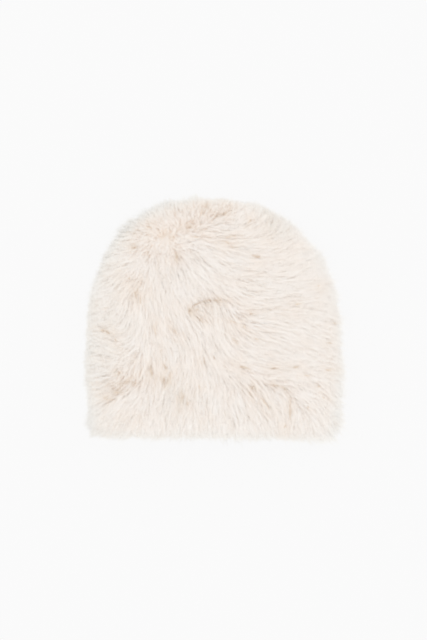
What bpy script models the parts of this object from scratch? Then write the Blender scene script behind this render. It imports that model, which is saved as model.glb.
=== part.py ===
# A long-pile fur beanie lying flat on its back, mouth towards -Y and crown towards +Y.
# Metres, +Z up, resting on z = 0. Two pieces: the hollow backing shell and the pile round it.
import math
import random

import bmesh
import bpy
from mathutils import Vector
from mathutils.bvhtree import BVHTree

# Backing shell, outer surface
SHELL_HALF_WIDTH = 0.1195
SHELL_HALF_HEIGHT = 0.0135
HEM_TO_WIDEST = 0.074
WIDEST_TO_TOP = 0.155
HEM_TAKE_IN = 0.007
WALL = 0.0025
SECTION_POWER = 3.4
CROWN_POWER = 2.6
CROWN_BLUNTNESS = 0.45
HEM_Y = -0.117

# Pile
GAP = 0.0004
MAT = 0.0042
UNDERSIDE_PILE = 0.0095
MOUTH_CLEARANCE = 0.045
FRONT_SPACING = 0.0255
BACK_SPACING = 0.038
RIM_SPACING = 0.020
RIM_LEVELS = (0.007, -0.005)
RIM_REACH = 0.8
RIM_SWEEP = 1.3
RIM_STEPS = 400
ROW_SHARE = 0.88
JITTER = 0.16
BACK_BROADENING = 1.35
BACK_REACH = 0.044
BACK_SPREAD = 1.6
LOCK_HALF_WIDTH = 0.0115
LOCK_HALF_DEPTH = 0.0056
LONGEST_OVERHANG = 0.0145
OVERHANG_SHARE = 0.36
TRIM = 0.92
MOST_TRIMS = 12
FOLLOW = 0.55
SETTLE = 0.55
MOST_BOW = 0.3
BOW_CENTRE = 0.4
LEAST_HEIGHT = 0.3 * LOCK_HALF_DEPTH
REACH_VARIES = 0.1
RIM_COMBING = 0.55
HEM_MARGIN = 0.005
COMB_SOFTNESS = 1e-5
SEED = 7

# How far a place on the mat faces up, down or towards the hem, as a share of its normal
FLATTEST_ROOT = 0.15
LEVEL_ENOUGH = 0.5
FACES_UP = 0.3
FACES_HEM = 0.7

# A lock from its root to its tip, in shares of the sizes above
LOCK_PROFILE = (
    # share of reach, half width, half depth, height over the mat
    (0.00, 0.55, 0.60, -0.15),
    (0.35, 1.00, 1.00, 0.80),
    (0.72, 0.72, 0.75, 1.45),
    (1.00, 0.00, 0.00, 1.50),
)

# A lock's section is a ridge over two edges, in shares of its half width and half depth
LOCK_SECTION = ((1, -0.45), (0, 1.1), (-1, -0.45))

# Mesh density of the lofts: points round a section, rows up to the widest place, rows up the crown
SHELL_MESH = (32, 2, 10)
MAT_MESH = (20, 2, 7)

# How the pile is combed on the front, seen from above: place, heading (0 = +X, 90 = +Y), reach
COMB = (
    # x, y, heading in degrees, reach
    (-0.064, 0.110, 115, 0.024),
    (-0.020, 0.118, 95, 0.022),
    (0.020, 0.118, 85, 0.022),
    (0.058, 0.108, 62, 0.026),
    (0.092, 0.088, 40, 0.030),
    (-0.100, 0.086, 172, 0.036),
    (-0.094, 0.062, 197, 0.042),
    (-0.052, 0.086, 215, 0.040),
    (-0.022, 0.070, 300, 0.045),
    (0.012, 0.058, 325, 0.048),
    (0.015, 0.084, 2, 0.048),
    (0.060, 0.078, 0, 0.046),
    (0.100, 0.060, 8, 0.040),
    (-0.120, 0.020, 195, 0.038),
    (-0.096, 0.030, 215, 0.042),
    (-0.072, 0.030, 264, 0.046),
    (-0.038, 0.025, 275, 0.048),
    (-0.012, -0.004, 300, 0.046),
    (0.010, -0.020, 272, 0.048),
    (0.050, 0.030, 352, 0.048),
    (0.085, 0.026, 2, 0.046),
    (0.122, 0.020, 340, 0.036),
    (-0.112, -0.022, 150, 0.038),
    (-0.118, -0.050, 186, 0.038),
    (-0.070, -0.040, 262, 0.044),
    (-0.030, -0.060, 266, 0.046),
    (0.030, -0.048, 318, 0.046),
    (0.070, -0.052, 345, 0.046),
    (0.110, -0.055, 335, 0.040),
    (-0.112, -0.085, 208, 0.038),
    (-0.085, -0.100, 228, 0.034),
    (-0.045, -0.105, 262, 0.028),
    (0.010, -0.100, 271, 0.028),
    (0.050, -0.092, 300, 0.032),
    (0.082, -0.100, 273, 0.028),
    (0.115, -0.095, 306, 0.038),
)


def fresh_scene():
    for item in list(bpy.data.objects):
        bpy.data.objects.remove(item)


def material(name, colour, roughness):
    made = bpy.data.materials.new(name)
    made.use_nodes = True
    shader = made.node_tree.nodes["Principled BSDF"]
    shader.inputs["Base Color"].default_value = (*colour, 1)
    shader.inputs["Roughness"].default_value = roughness
    shader.inputs["Metallic"].default_value = 0
    return made


def add_object(name, mesh, finish=None):
    made = bpy.data.objects.new(name, mesh)
    bpy.context.collection.objects.link(made)
    if finish:
        mesh.materials.append(finish)
        mesh.shade_smooth()
    return made


def as_helper(item):
    item.hide_render = True
    item.display_type = "WIRE"
    return item


def power(value, exponent):
    return math.copysign(abs(value) ** exponent, value)


def dome_sections(grow, hem_rows, crown_rows, hem_extra):
    """(y, half width, half height) from the hem to just short of the crown's pole."""
    width = SHELL_HALF_WIDTH + grow
    height = SHELL_HALF_HEIGHT + grow
    sections = []
    if hem_extra:
        sections.append((HEM_Y - hem_extra, width - HEM_TAKE_IN, height))
    for row in range(hem_rows):
        part = row / hem_rows
        sections.append((HEM_Y + HEM_TO_WIDEST * part, width - HEM_TAKE_IN * (1 - part) ** 2, height))
    for row in range(crown_rows):
        angle = math.pi / 2 * row / crown_rows
        reach = math.sin(angle) ** (2 / CROWN_POWER) * (WIDEST_TO_TOP + grow)
        narrow = math.cos(angle)
        sections.append((HEM_Y + HEM_TO_WIDEST + reach, width * narrow, height * narrow**CROWN_BLUNTNESS))
    return sections


def dome_rings(shape, grow, density=SHELL_MESH, hem_extra=0.0):
    """The loft's rings of vertices, then the vertex at the crown's pole."""
    points, hem_rows, crown_rows = density
    middle = UNDERSIDE_PILE + SHELL_HALF_HEIGHT
    rings = []
    for y, width, height in dome_sections(grow, hem_rows, crown_rows, hem_extra):
        ring = []
        for step in range(points):
            turn = 2 * math.pi * (step + 0.5) / points
            x = width * power(math.cos(turn), 2 / SECTION_POWER)
            z = middle + height * power(math.sin(turn), 2 / SECTION_POWER)
            ring.append(shape.verts.new((x, y, z)))
        rings.append(ring)
    top = HEM_Y + HEM_TO_WIDEST + WIDEST_TO_TOP + grow
    return rings, shape.verts.new((0, top, middle))


def skin(shape, rings, pole):
    for low, high in zip(rings, rings[1:]):
        bridge(shape, low, high)
    last = rings[-1]
    for this, after in zip(last, last[1:] + last[:1]):
        shape.faces.new((this, after, pole))


def bridge(shape, low, high):
    for a, b, c, d in zip(low, low[1:] + low[:1], high[1:] + high[:1], high):
        shape.faces.new((a, b, c, d))


def to_mesh(name, shape):
    bmesh.ops.recalc_face_normals(shape, faces=shape.faces)
    bmesh.ops.triangulate(shape, faces=shape.faces)
    mesh = bpy.data.meshes.new(name)
    shape.to_mesh(mesh)
    shape.free()
    return mesh


def solid_dome(name, grow, density=SHELL_MESH, hem_extra=0.0):
    shape = bmesh.new()
    rings, pole = dome_rings(shape, grow, density, hem_extra)
    skin(shape, rings, pole)
    shape.faces.new(rings[0])
    return to_mesh(name, shape)


def make_shell():
    shape = bmesh.new()
    outer, outer_pole = dome_rings(shape, 0)
    inner, inner_pole = dome_rings(shape, -WALL)
    skin(shape, outer, outer_pole)
    skin(shape, inner, inner_pole)
    bridge(shape, outer[0], inner[0])
    finish = material("backing_cloth", (0.80, 0.70, 0.60), 0.9)
    return add_object("crown_shell", to_mesh("crown_shell", shape), finish)


def comb_at(x, y):
    """Heading as a flat unit vector, and reach, weighed from the nearest rows of COMB."""
    total = 0.0
    flow = Vector((0, 0, 0))
    reach = 0.0
    for row_x, row_y, heading, row_reach in COMB:
        weight = 1 / ((x - row_x) ** 2 + (y - row_y) ** 2 + COMB_SOFTNESS) ** 2
        angle = math.radians(heading)
        flow += weight * Vector((math.cos(angle), math.sin(angle), 0))
        reach += weight * row_reach
        total += weight
    return flow.normalized(), reach / total


def back_comb_at(x, y):
    """On the underside the pile lies plainly from the crown to the hem, spreading sideways."""
    return Vector((BACK_SPREAD * x / SHELL_HALF_WIDTH, -1, 0)).normalized(), BACK_REACH


def lock_path(tree, root, flow, reach, bow, side):
    """(place, heading) at each row of LOCK_PROFILE, and how far the tip stands off the mat."""
    place = root.copy()
    path = []
    came = 0.0
    for share, _, _, high in LOCK_PROFILE:
        heading = (flow + side * bow * (share - BOW_CENTRE)).normalized()
        _, out, _, _ = tree.find_nearest(place)
        into = heading.dot(out)
        heading = (heading - out * into * (1.0 if into < 0 else FOLLOW)).normalized()
        place = place + heading * reach * (share - came)
        came = share
        near, out, _, _ = tree.find_nearest(place)
        over = (place - near).dot(out)
        wanted = high * LOCK_HALF_DEPTH
        if over < wanted:
            place += out * (wanted - over)
        elif out.z > FACES_UP:
            place.z -= SETTLE * (over - wanted)
        if out.z < -FACES_UP:
            place.z = max(place.z, LEAST_HEIGHT)
        path.append((place.copy(), heading))
    near, _, _, _ = tree.find_nearest(place)
    return path, Vector((place.x - near.x, place.y - near.y)).length


def lock(shape, tree, root, flow, reach, broad, draw):
    """One tapered lock that leaves the mat at root and lies along flow."""
    _, normal, _, _ = tree.find_nearest(root)
    off = normal if abs(normal.z) > LEVEL_ENOUGH else Vector((0, 0, 1))
    side = flow.cross(off).normalized()
    bow = draw.uniform(-MOST_BOW, MOST_BOW)
    furthest = min(LONGEST_OVERHANG, reach * OVERHANG_SHARE) / broad
    path, overhang = lock_path(tree, root, flow, reach, bow, side)
    for _ in range(MOST_TRIMS):
        if overhang <= furthest:
            break
        reach *= TRIM
        path, overhang = lock_path(tree, root, flow, reach, bow, side)
    rings = []
    for (place, heading), (_, wide, deep, _) in zip(path, LOCK_PROFILE):
        across = (side - heading * side.dot(heading)).normalized()
        up = across.cross(heading).normalized()
        if wide == 0:
            tip = shape.verts.new(place)
            continue
        ring = []
        for sideways, upwards in LOCK_SECTION:
            offset = across * broad * wide * LOCK_HALF_WIDTH * sideways + up * deep * LOCK_HALF_DEPTH * upwards
            ring.append(shape.verts.new(place + offset))
        rings.append(ring)
    for low, high in zip(rings, rings[1:]):
        bridge(shape, low, high)
    for this, after in zip(rings[-1], rings[-1][1:] + rings[-1][:1]):
        shape.faces.new((this, after, tip))
    shape.faces.new(rings[0])


def plan_grid(spacing, draw):
    """Jittered staggered places over the dome's plan."""
    length = HEM_TO_WIDEST + WIDEST_TO_TOP
    rows = round(length / (spacing * ROW_SHARE))
    half_count = int(SHELL_HALF_WIDTH / spacing) + 1
    for row in range(rows):
        shift = 0.5 * spacing * (row % 2)
        for column in range(-half_count, half_count + 1):
            x = column * spacing + shift + draw.uniform(-JITTER, JITTER) * spacing
            y = HEM_Y + (row + 0.5) * length / rows + draw.uniform(-JITTER, JITTER) * spacing
            yield x, y


def rim_walk(tree, level):
    """Evenly spaced places along the dome's edge at a height over its middle, and the way out of it."""
    centre = Vector((0, HEM_Y + 0.5 * HEM_TO_WIDEST, UNDERSIDE_PILE + SHELL_HALF_HEIGHT + level))
    last = None
    for step in range(RIM_STEPS + 1):
        turn = math.pi * (RIM_SWEEP * step / RIM_STEPS + 0.5 - 0.5 * RIM_SWEEP)
        way = Vector((math.cos(turn), math.sin(turn), 0))
        place, out, _, _ = tree.ray_cast(centre + way, -way)
        if place is None or out.y < -FACES_HEM or (last and (place - last).length < RIM_SPACING):
            continue
        last = place
        yield place, Vector((out.x, out.y, 0)).normalized()


def make_locks(mat_mesh):
    draw = random.Random(SEED)
    faces = (
        # spacing, side that the pile grows on, its combing, how broad its locks are
        (BACK_SPACING, -1, back_comb_at, BACK_BROADENING),
        (FRONT_SPACING, 1, comb_at, 1.0),
    )
    source = bmesh.new()
    source.from_mesh(mat_mesh)
    tree = BVHTree.FromBMesh(source)
    source.free()
    shape = bmesh.new()
    for spacing, up, combed, broad in faces:
        for x, y in plan_grid(spacing, draw):
            root, normal, _, _ = tree.ray_cast(Vector((x, y, up)), Vector((0, 0, -up)))
            if root is None or y < HEM_Y + HEM_MARGIN or abs(normal.z) < FLATTEST_ROOT:
                continue
            flow, reach = combed(x, y)
            reach *= draw.uniform(1 - REACH_VARIES, 1 + REACH_VARIES)
            lock(shape, tree, root, flow, reach, broad, draw)
    for level in RIM_LEVELS:
        for root, way_out in rim_walk(tree, level):
            flow, reach = comb_at(root.x, root.y)
            flow = (RIM_COMBING * flow + way_out).normalized()
            lock(shape, tree, root, flow, reach * RIM_REACH, 1.0, draw)
    return as_helper(add_object("locks", to_mesh("locks", shape)))


def boolean(item, name, operation, other):
    step = item.modifiers.new(name, "BOOLEAN")
    step.operation = operation
    step.object = other
    step.solver = "EXACT"
    return step


def make_pile():
    mat = solid_dome("fur_pile", GAP + MAT, MAT_MESH)
    locks = make_locks(mat)
    hollow = as_helper(add_object("hollow", solid_dome("hollow", GAP, SHELL_MESH, MOUTH_CLEARANCE)))
    floor_shape = bmesh.new()
    bmesh.ops.create_cube(floor_shape, size=1.0)
    bmesh.ops.translate(floor_shape, verts=floor_shape.verts, vec=(0, 0, -0.5))
    floor = as_helper(add_object("floor", to_mesh("floor", floor_shape)))
    pile = add_object("fur_pile", mat, material("cream_pile", (0.87, 0.80, 0.74), 0.75))
    join = boolean(pile, "locks", "UNION", locks)
    join.use_self = True
    boolean(pile, "hollow", "DIFFERENCE", hollow)
    boolean(pile, "floor", "DIFFERENCE", floor)
    return pile


def lay_on_origin(pile):
    """Hangs every object from one empty that centres the pile's box over the origin."""
    graph = bpy.context.evaluated_depsgraph_get()
    corners = [Vector(corner) for corner in pile.evaluated_get(graph).bound_box]
    middle = (min(c.x for c in corners) + max(c.x for c in corners)) / 2
    along = (min(c.y for c in corners) + max(c.y for c in corners)) / 2
    laid = add_object("laid_flat", None)
    for item in bpy.data.objects:
        if item is not laid:
            item.parent = laid
    laid.location = (-middle, -along, 0)


fresh_scene()
make_shell()
lay_on_origin(make_pile())
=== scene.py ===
import math
import bpy
import bmesh
import numpy as np
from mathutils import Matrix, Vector, noise
from mathutils.bvhtree import BVHTree


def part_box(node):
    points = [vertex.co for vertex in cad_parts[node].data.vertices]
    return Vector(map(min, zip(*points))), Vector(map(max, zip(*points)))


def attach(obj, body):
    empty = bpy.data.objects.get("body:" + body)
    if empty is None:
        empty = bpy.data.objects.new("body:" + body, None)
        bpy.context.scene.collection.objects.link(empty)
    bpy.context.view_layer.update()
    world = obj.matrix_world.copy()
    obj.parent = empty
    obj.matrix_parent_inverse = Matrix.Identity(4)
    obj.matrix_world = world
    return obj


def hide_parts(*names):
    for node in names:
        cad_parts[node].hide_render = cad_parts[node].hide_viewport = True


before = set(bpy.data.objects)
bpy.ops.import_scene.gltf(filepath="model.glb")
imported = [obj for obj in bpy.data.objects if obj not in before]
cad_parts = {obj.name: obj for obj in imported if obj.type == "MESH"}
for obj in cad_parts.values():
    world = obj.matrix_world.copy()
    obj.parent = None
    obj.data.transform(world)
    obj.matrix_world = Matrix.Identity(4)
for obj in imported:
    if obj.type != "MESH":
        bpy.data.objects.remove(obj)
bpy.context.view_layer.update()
print("frame loaded")

mm = 0.001
shellLow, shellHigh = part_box("crown_shell")
shellLength = shellHigh.y - shellLow.y

dome = {  # the laid-flat cap that the pile grows on, from the shell's box
    "middleX": (shellLow.x + shellHigh.x) / 2,
    "middleZ": (shellLow.z + shellHigh.z) / 2,
    "halfWidth": (shellHigh.x - shellLow.x) / 2,
    "halfHeight": (shellHigh.z - shellLow.z) / 2,
    "hemY": shellLow.y,
    "hemToWidest": shellLength * 0.323,  # the shell is widest a third of the way up
    "widestToTop": shellLength * 0.677,
    "hemTakeIn": 7 * mm,  # each side draws in by this much at the hem
    "sectionPower": 3.4,  # 2 is an ellipse across the cap, and more is squarer
    "crownPower": 2.6,  # the same for the crown's outline
    "crownBluntness": 0.45,  # less keeps the height longer towards the crown
    "gap": 0.4 * mm,  # between the shell and the pile's backing
    "matDepth": 4.6 * mm,  # the matted roots, over the shell
}

hide = {  # faces of the backing that the strands root in, and where its zones meet
    "around": 168,
    "outerRows": (34, 62),  # from the hem to the widest place, and on to the crown
    "innerRows": (5, 15),
    "outerStrips": 0.48,  # of the half width, where the front's outer strips begin
    "edgeFacing": 0.45,  # the edge faces up or down by less than this
    "rimDepth": 1 * mm,
    "rimFacing": 0.9,  # the hem's rim faces out of the mouth by more than this
    "bareZone": 9,  # the inner faces, without hair
}

# How the front is combed: x mm, y mm, heading in degrees, length in mm
frontComb = (
    (-64, 111, 118, 20), (-28, 119, 98, 20), (3, 119, 82, 20), (40, 115, 70, 22),
    (60, 111, 80, 22), (71, 104, 60, 24), (92, 90, 45, 26), (-8, 104, 96, 20),
    (-101, 92, 175, 28), (-101, 80, 188, 30), (-96, 65, 200, 32), (-116, 50, 190, 32),
    (-122, 30, 200, 32), (-122, 9, 200, 32), (-129, -2, 190, 30), (-90, 35, 225, 38),
    (-110, -24, 160, 28), (-116, -43, 180, 34), (-122, -56, 200, 34), (-122, -69, 190, 34),
    (-75, 19, 268, 44), (-56, 19, 282, 44), (-40, 19, 284, 44), (-38, -17, 300, 42),
    (-15, 1, 313, 38), (1, -10, 271, 42), (4, 8, 274, 38), (21, -20, 309, 42), (4, 53, 336, 42),
    (-2, 60, 326, 42), (26, 63, 348, 42), (-26, 61, 302, 42), (-58, 58, 264, 42), (-78, 76, 212, 36),
    (-62, 95, 156, 24), (-46, 99, 116, 20), (-26, 104, 84, 20), (-10, 104, 52, 22),
    (-42, 62, 270, 40), (-10, 73, 334, 38), (14, 84, 356, 40), (-18, 92, 354, 26),
    (4, 91, 356, 28), (-34, 82, 352, 26), (-60, 92, 166, 24),
    (29, 87, 10, 40), (40, 76, 0, 44), (34, 94, 45, 32), (50, 108, 60, 26),
    (92, 76, 0, 36), (81, 63, 25, 36), (71, 30, 8, 44), (102, 19, 0, 38),
    (117, 45, 20, 30), (128, -2, 320, 30), (133, -12, 340, 28), (128, -43, 320, 30),
    (48, 48, 6, 44), (40, 10, 2, 42), (60, -2, 358, 42), (84, -20, 346, 38),
    (48, -14, 342, 40), (40, -34, 352, 40), (66, -34, 342, 40), (16, 30, 318, 40),
    (102, -28, 340, 36), (29, -49, 344, 40), (60, -53, 3, 42), (92, -54, 350, 38),
    (114, -52, 346, 34), (42, -76, 294, 34), (45, -85, 298, 34), (60, -90, 305, 34), (80, -95, 272, 30),
    (97, -76, 330, 34), (114, -94, 305, 32), (128, -85, 315, 30), (126, -111, 300, 24),
    (8, -74, 272, 38), (8, -116, 272, 24), (-28, -85, 265, 36), (-54, -85, 265, 36),
    (-96, -95, 222, 38), (-101, -85, 222, 38), (-122, -80, 200, 32), (-127, -106, 220, 28),
    (-85, -111, 245, 28), (-64, -111, 260, 26), (-64, -33, 281, 40), (-70, -54, 265, 38), (-33, -50, 255, 36),
    (-10, -32, 276, 40), (-85, -59, 240, 36), (-84, -38, 190, 34), (60, -114, 285, 24), (-20, -114, 268, 24),
)

# Where the pile parts and its roots show, and where painted shade and painted-shadow hairs lie along it: x
# mm, y mm, heading in degrees, length mm, depth
partings = (
    (-8, 109, 62, 9, 1.0), (9, 106, 12, 11, 0.9), (-23, 94, 15, 4, 1.0), (37, 98, 52, 8, 0.6),
    (18, 76, -28, 8, 0.6), (46, 64, -8, 9, 0.6), (-15, 84, -4, 14, 0.4), (20, 84, 6, 14, 0.4),
    (-44, 84, -10, 12, 0.4), (-64, 93, -30, 5, 0.5), (-66, 67, -72, 6, 0.5), (-79, 73, -50, 5, 0.6),
    (-85, 41, 40, 4, 0.5), (-71, 37, 0, 4, 0.5), (-36, 63, -84, 6, 0.8), (-79, 26, -80, 7, 0.7),
    (-74, 19, -86, 8, 0.6), (-113, -12, -20, 5, 0.6), (-107, -15, -40, 6, 0.8), (-99, -23, -62, 6, 0.6),
    (-17, 14, 32, 13, 0.9), (-6, 18, 10, 13, 1.0), (7, 19, -2, 13, 0.9), (-23, 8, 80, 4, 0.8),
    (-15, 9, 40, 3, 0.7), (-12, -1, -45, 14, 0.7), (-59, -9, -80, 16, 0.4), (-39, -12, -52, 10, 0.7),
    (-52, -33, 70, 5, 0.4), (-8, -43, 90, 8, 0.9), (2, -40, 88, 5, 1.0), (40, 5, 5, 6, 0.8),
    (63, 10, 20, 9, 0.5), (87, 14, 12, 9, 0.4), (108, 33, 8, 7, 0.5), (127, -5, -30, 5, 0.5),
    (20, -3, -16, 8, 0.5), (33, -9, -60, 5, 0.6), (24, -24, -48, 10, 0.5), (46, -21, -10, 7, 0.4),
    (121, -25, -10, 7, 0.6), (-96, -56, -45, 6, 0.9), (-103, -70, -40, 8, 0.7), (-97, -76, 10, 6, 0.5),
    (-109, -82, 12, 5, 0.6), (-102, -84, 0, 6, 0.5), (-89, -66, 20, 9, 0.8), (-80, -66, -20, 8, 0.8),
    (-63, -50, 80, 4, 1.0), (-61, -57, -70, 8, 0.8), (-48, -50, -64, 7, 0.9), (-49, -64, -80, 6, 0.8),
    (-31, -80, 88, 7, 0.5), (-25, -88, 86, 5, 0.7), (-33, -95, 85, 5, 0.5), (-13, -70, -72, 6, 0.5),
    (34, -51, -18, 13, 0.6), (64, -51, 12, 7, 0.6), (86, -50, 10, 8, 0.6), (120, -53, -6, 8, 0.5),
    (97, -59, -8, 7, 0.5), (42, -71, 60, 4, 1.0), (66, -69, -6, 8, 0.9), (75, -73, -46, 7, 0.7),
    (54, -86, -55, 20, 0.6), (80, -92, -88, 34, 0.5), (110, -70, -30, 4, 0.4), (115, -82, -48, 4, 0.4),
    (99, -92, 80, 4, 0.4), (75, -111, 60, 4, 0.6),
)

# Broad warm patches: x mm, y mm, radius mm, warmth
blushes = (
    (-51, -60, 15, 1.15), (-66, -56, 11, 0.9), (-94, -70, 12, 0.85), (-103, -14, 8, 0.8),
    (-78, 20, 12, 0.8), (-80, 73, 6, 0.9), (-22, 95, 6, 0.9), (-36, 60, 5, 1.0),
    (2, 19, 9, 0.6), (38, 5, 8, 0.8), (42, -78, 9, 0.8), (2, 108, 11, 0.5),
    (72, -66, 9, 0.6), (28, -48, 9, 0.7), (72, 82, 34, 0.4), (20, 76, 8, 0.6),
    (-26, -12, 10, 0.4), (26, 38, 12, 0.35),
)

# Painted shadow: patches where the hair is painted greyer and darker than the rest, as if in shade: x mm, y
# mm, radius mm, greyness
paintedShadowPatches = (
    (-130, -100, 40, 0.35), (-132, -45, 42, 0.4), (-132, 10, 42, 0.42), (-118, 60, 36, 0.38),
    (-84, 100, 28, 0.3), (-40, 118, 22, 0.3), (6, 120, 20, 0.25), (-96, 6, 26, 0.28),
    (-96, -34, 18, 0.34), (-34, -62, 20, 0.34), (24, 38, 14, 0.18), (52, 88, 14, 0.45),
)

# Tousled places, where the hair is short and turns every way: x mm, y mm, radius mm, how tousled
tousles = ((-52, 79, 22, 1), (-24, 102, 16, 1), (14, 112, 12, 1), (-92, -54, 9, 1), (-66, -52, 9, 1))

# Hair past the hide's outline, and how grey it is painted there as shade, more on the left, the top-left and
# the hem than on the right: x mm, y mm, reach mm, how grey it turns there
fringe = (
    (-118, -114, 17, 0.7), (-124, -84, 11, 0.7), (-126, -50, 12, 0.7), (-126, -20, 10, 0.7),
    (-126, 10, 12, 0.7), (-118, 42, 12, 0.7), (-108, 62, 15, 0.7), (-92, 82, 20, 0.8),
    (-74, 98, 25, 0.85), (-50, 110, 21, 0.8), (-25, 117, 13, 0.7), (0, 119, 8, 0.7),
    (25, 117, 9, 0.7), (50, 110, 13, 0.6), (74, 98, 15, 0.5), (92, 82, 18, 0.4),
    (108, 62, 20, 0.4), (118, 42, 20, 0.4), (126, 10, 19, 0.4), (126, -20, 21, 0.4),
    (126, -50, 23, 0.4), (124, -80, 26, 0.4), (121, -112, 42, 0.4), (80, -114, 26, 0.6),
    (40, -114, 24, 0.7), (0, -114, 23, 0.7), (-40, -114, 22, 0.7), (-80, -114, 21, 0.7),
)

combing = {  # how the charts turn into fields over the hide; a facing is 1 straight up or down, 0 at the edge
    "combBlend": 4.9 * mm,  # rows nearer than this count about alike
    "fringeBlend": 6 * mm,
    "backReach": 44 * mm,
    "backSpread": 1.6,  # how far the back's hair fans out at the sides
    "rimBlend": 0.35,  # the facing, under the edge, where the front's combing has given way
    "frontFrom": 1 / 3,  # the facing from which the front's patches show in full
    "outward": 0.55,  # how much of its combing the hair keeps at the edge, where it turns out
    "outwardPower": 0.7,
    "creaseWidth": 0.9 * mm,
    "warmWidth": 5 * mm,
    "clump": 17 * mm,  # the size of the bunches along the outline
    "clumping": 0.35,  # how much their reach varies
    "thinning": 0.3,  # of the hairs missing on a parting of full depth
    "hemDensity": 0.5,  # of the hairs added at the hem
    "hemDepth": 12 * mm,
    "damming": 0.6,  # how fully a hair that would cross a parting stops at it
    "damAngle": 0.3,  # the sine of the least angle at which a hair crosses one
    "damLeast": 6 * mm,  # of length that such a hair keeps
    "flatFacing": 0.875,  # the lift is full from here on
    "steepFacing": 0.25,  # and from here outwards it follows how far the hair passes the outline
    "steepLift": 45,  # there, the share of the full lift for each metre past the outline
    "borderFacing": 0.8,  # the hair turns to the border's colours, greyer as painted shade, from here outwards
}


class Wire:
    # one socket; sums on wires add Math nodes, or Vector Math nodes where either side is a vector
    def __init__(self, board, socket):
        self.board = board
        self.socket = socket

    def combine(self, operation, *sides):
        kind = "ShaderNodeVectorMath" if any(map(isVector, sides)) else "ShaderNodeMath"
        return self.board.add(kind, {"operation": operation}, dict(enumerate(sides)))

    def __add__(self, other):
        return self.combine("ADD", self, other)

    def __radd__(self, other):
        return self.combine("ADD", other, self)

    def __sub__(self, other):
        return self.combine("SUBTRACT", self, other)

    def __rsub__(self, other):
        return self.combine("SUBTRACT", other, self)

    def __mul__(self, other):
        if isVector(self) and not isVector(other):
            return self.board.add("ShaderNodeVectorMath", {"operation": "SCALE"}, {0: self, "Scale": other})
        return self.combine("MULTIPLY", self, other)

    def __rmul__(self, other):
        return self * other

    def __truediv__(self, other):
        return self.combine("DIVIDE", self, other)

    def __rtruediv__(self, other):
        return self.combine("DIVIDE", other, self)

    def __pow__(self, other):
        return self.combine("POWER", self, other)

    def atLeast(self, other):
        return self.combine("MAXIMUM", self, other)

    def atMost(self, other):
        return self.combine("MINIMUM", self, other)

    def whole(self):
        return self.combine("FLOOR", self)

    def sine(self):
        return self.combine("SINE", self)

    def size(self):
        return self.combine("LENGTH", self)

    def unit(self):
        return self.combine("NORMALIZE", self)

    def dot(self, other):
        return self.combine("DOT_PRODUCT", self, other)

    def cross(self, other):
        return self.combine("CROSS_PRODUCT", self, other)

    def parts(self):
        return [self.board.add("ShaderNodeSeparateXYZ", {}, {0: self}, axis) for axis in "XYZ"]

    def between(self, low, high):  # 0 at low, 1 at high, smooth
        return self.board.add("ShaderNodeMapRange", {"interpolation_type": "SMOOTHSTEP"},
                              {"Value": self, "From Min": low, "From Max": high})


def isVector(side):
    return isinstance(side, tuple) or (isinstance(side, Wire) and side.socket.type in ("VECTOR", "RGBA"))


class Board:
    # a node tree with one way to add a node: its kind, its settings, what goes into its sockets
    def __init__(self, tree):
        self.tree = tree

    def add(self, kind, settings, sockets, output=None):
        node = self.tree.nodes.new(kind)
        for name, value in settings.items():
            if name == "stops":
                self.setStops(node.color_ramp, value)
            elif name == "items":
                for _ in range(value - len(node.index_switch_items)):
                    node.index_switch_items.new()
            else:
                setattr(node, name, value)
        for name, value in sockets.items():
            socket = self.find(node.inputs, name)
            if isinstance(value, Wire):
                self.tree.links.new(value.socket, socket)
            else:
                socket.default_value = value
        return Wire(self, self.find(node.outputs, output))

    def find(self, sockets, name):
        if name is None:
            return next(socket for socket in sockets if socket.enabled)
        if isinstance(name, int):
            return sockets[name]
        named = [socket for socket in sockets if name in (socket.identifier, socket.name)]
        return next((socket for socket in named if socket.enabled), named[0])

    def setStops(self, ramp, stops):
        while len(ramp.elements) < len(stops):
            ramp.elements.new(0.5)
        for element, (place, colour) in zip(ramp.elements, stops):
            element.position = place
            element.color = (*colour, 1)

    def mix(self, factor, first, second, blend="MIX"):
        return self.add("ShaderNodeMix", {"data_type": "RGBA", "blend_type": blend},
                        {"Factor": factor, "A": first, "B": second})

    def vector(self, x, y, z):
        return self.add("ShaderNodeCombineXYZ", {}, {0: x, 1: y, 2: z})


def makeObject(name, mesh, material=None):
    made = bpy.data.objects.new(name, mesh)
    bpy.context.scene.collection.objects.link(made)
    if material:
        mesh.materials.append(material)
    return made


def makeMesh(name, shape):
    bmesh.ops.recalc_face_normals(shape, faces=shape.faces)
    mesh = bpy.data.meshes.new(name)
    shape.to_mesh(mesh)
    shape.free()
    return mesh


def headingOf(degrees):  # the unit vector along a heading
    return Vector((math.cos(math.radians(degrees)), math.sin(math.radians(degrees)), 0))


# The hide: the backing that the strands root in

def domeRows(grow, hemRows, crownRows):
    # where each ring lies, and how far it reaches to the sides and up
    width = dome["halfWidth"] + grow
    height = dome["halfHeight"] + grow
    rows = []
    for row in range(hemRows):
        part = row / hemRows
        takeIn = dome["hemTakeIn"] * (1 - part) ** 2
        rows.append((dome["hemY"] + dome["hemToWidest"] * part, width - takeIn, height))
    for row in range(crownRows):
        angle = math.pi / 2 * row / crownRows
        reach = math.sin(angle) ** (2 / dome["crownPower"]) * (dome["widestToTop"] + grow)
        narrow = math.cos(angle)
        y = dome["hemY"] + dome["hemToWidest"] + reach
        rows.append((y, width * narrow, height * narrow ** dome["crownBluntness"]))
    return rows


def makeRing(shape, y, width, height):
    ring = []
    for step in range(hide["around"]):
        turn = math.tau * (step + 0.5) / hide["around"]
        across = math.copysign(abs(math.cos(turn)) ** (2 / dome["sectionPower"]), math.cos(turn))
        above = math.copysign(abs(math.sin(turn)) ** (2 / dome["sectionPower"]), math.sin(turn))
        ring.append(shape.verts.new((dome["middleX"] + width * across, y, dome["middleZ"] + height * above)))
    return ring


def bridgeRings(shape, low, high):
    for a, b, c, d in zip(low, low[1:] + low[:1], high[1:] + high[:1], high):
        shape.faces.new((a, b, c, d))


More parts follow.
